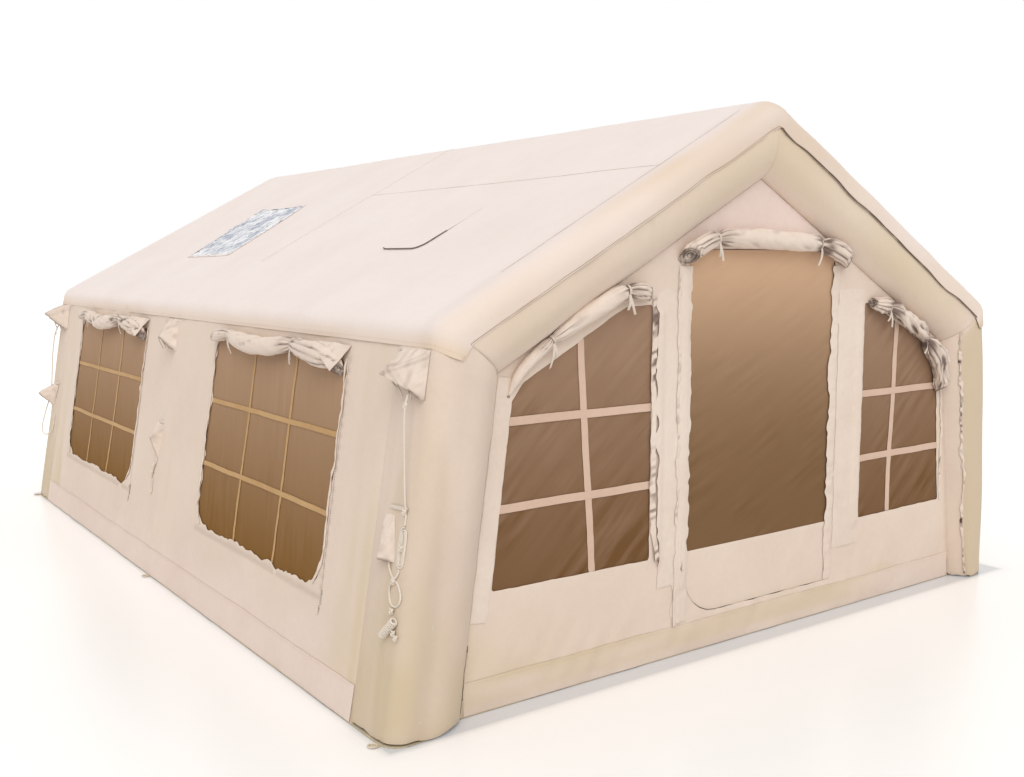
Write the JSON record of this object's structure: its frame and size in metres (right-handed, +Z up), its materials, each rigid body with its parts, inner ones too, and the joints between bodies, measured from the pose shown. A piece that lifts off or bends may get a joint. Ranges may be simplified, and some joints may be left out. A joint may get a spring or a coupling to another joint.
{
  "type": "inflatable tent",
  "caption": "House-shaped inflatable family tent: air-tube frame, fabric walls, pitched roof fly, mesh windows with rolled covers, and a mesh door in the front gable.",
  "frame": {"origin": "on the ground, under the middle of the ridge", "axes": "+Z up, the door gable faces -Y, +X to the right as seen from the door"},
  "size_m": [3.814, 5.092, 2.3025],
  "materials": {
    "canvas": "woven, matt",
    "roof": "coated, matt",
    "skirt": "coated, matt",
    "tube": "smooth",
    "mesh": "fine net",
    "film": "clear crinkled film",
    "heatproof": "coarse, matt",
    "rope": "braided",
    "zip": "satin",
    "valve": "matt"
  },
  "bodies": {
    "tent": {"groundsheet": "skirt", "front_arch_tube": "tube", "middle_arch_tube": "tube", "rear_arch_tube": "tube", "ridge_tube_front": "tube", "ridge_tube_rear": "tube", "eave_tube_left_front": "tube", "eave_tube_left_rear": "tube", "eave_tube_right_front": "tube", "eave_tube_right_rear": "tube", "front_arch_sleeve": "canvas", "rear_arch_sleeve": "canvas", "front_wall": "canvas", "rear_wall": "canvas", "left_wall": "canvas", "right_wall": "canvas", "roof_fly": "roof", "front_left_window": "mesh", "front_right_window": "mesh", "left_front_window": "mesh", "left_rear_window": "mesh", "right_front_window": "mesh", "right_rear_window": "mesh", "rear_window": "mesh", "front_left_cover_roll": "canvas", "front_right_cover_roll": "canvas", "left_front_cover_roll": "canvas", "left_rear_cover_roll": "canvas", "right_front_cover_roll": "canvas", "right_rear_cover_roll": "canvas", "door_awning_roll": "canvas", "skylight": "film", "stove_jack_panel": "heatproof", "inflation_valve": "valve", "guy_flap_left_front": "canvas", "guy_flap_left_middle": "canvas", "guy_flap_left_rear": "canvas", "guy_flap_right_front": "canvas", "guy_flap_right_middle": "canvas", "guy_flap_right_rear": "canvas", "lower_guy_flap_left_front": "canvas", "lower_guy_flap_left_middle": "canvas", "lower_guy_flap_left_rear": "canvas", "guy_rope_front_left": "rope", "guy_rope_front_left_hank": "rope", "guy_rope_lower_front_left": "rope", "guy_rope_lower_front_left_winding": "rope", "guy_rope_middle_left": "rope", "guy_rope_rear_left": "rope"},
    "door": {"door_mesh": "mesh", "door_lower_panel": "canvas"},
    "door_slider": {"door_zip_slider": "zip"},
    "front_left_slider": {"front_left_zip_slider": "zip"},
    "front_right_slider": {"front_right_zip_slider": "zip"},
    "left_front_slider": {"left_front_zip_slider": "zip"},
    "left_rear_slider": {"left_rear_zip_slider": "zip"},
    "right_front_slider": {"right_front_zip_slider": "zip"},
    "right_rear_slider": {"right_rear_zip_slider": "zip"},
    "jack_flap": {"stove_jack_flap": "roof"},
    "valve_cap": {"inflation_valve_cap": "valve"}
  },
  "joints": [
    {"name": "door_swing", "type": "hinge", "parent": "tent", "child": "door", "pos_m": [0.5147, -2.447, 0], "axis": [0, 0, -1], "range_deg": [0, 100]},
    {"name": "door_zip", "type": "slide", "parent": "tent", "child": "door_slider", "axis": [0, 0, 1], "range_m": [0, 1.2]},
    {"name": "front_left_zip", "type": "slide", "parent": "tent", "child": "front_left_slider", "axis": [0, 0, 1], "range_m": [0, 0.95]},
    {"name": "front_right_zip", "type": "slide", "parent": "tent", "child": "front_right_slider", "axis": [0, 0, 1], "range_m": [0, 0.95]},
    {"name": "left_front_zip", "type": "slide", "parent": "tent", "child": "left_front_slider", "axis": [0.1595, 0, 0.9872], "range_m": [0, 0.82]},
    {"name": "left_rear_zip", "type": "slide", "parent": "tent", "child": "left_rear_slider", "axis": [0.1595, 0, 0.9872], "range_m": [0, 0.82]},
    {"name": "right_front_zip", "type": "slide", "parent": "tent", "child": "right_front_slider", "axis": [-0.1595, 0, 0.9872], "range_m": [0, 0.82]},
    {"name": "right_rear_zip", "type": "slide", "parent": "tent", "child": "right_rear_slider", "axis": [-0.1595, 0, 0.9872], "range_m": [0, 0.82]},
    {"name": "jack_flap_hinge", "type": "hinge", "parent": "tent", "child": "jack_flap", "pos_m": [-0.8102, -1.38938, 1.88508], "axis": [0, 1, 0], "range_deg": [0, 170]},
    {"name": "valve_cap_hinge", "type": "hinge", "parent": "tent", "child": "valve_cap", "pos_m": [1.5664, 2.4367, 0.4363], "axis": [0, 1, 0], "range_deg": [0, 120]}
  ]
}
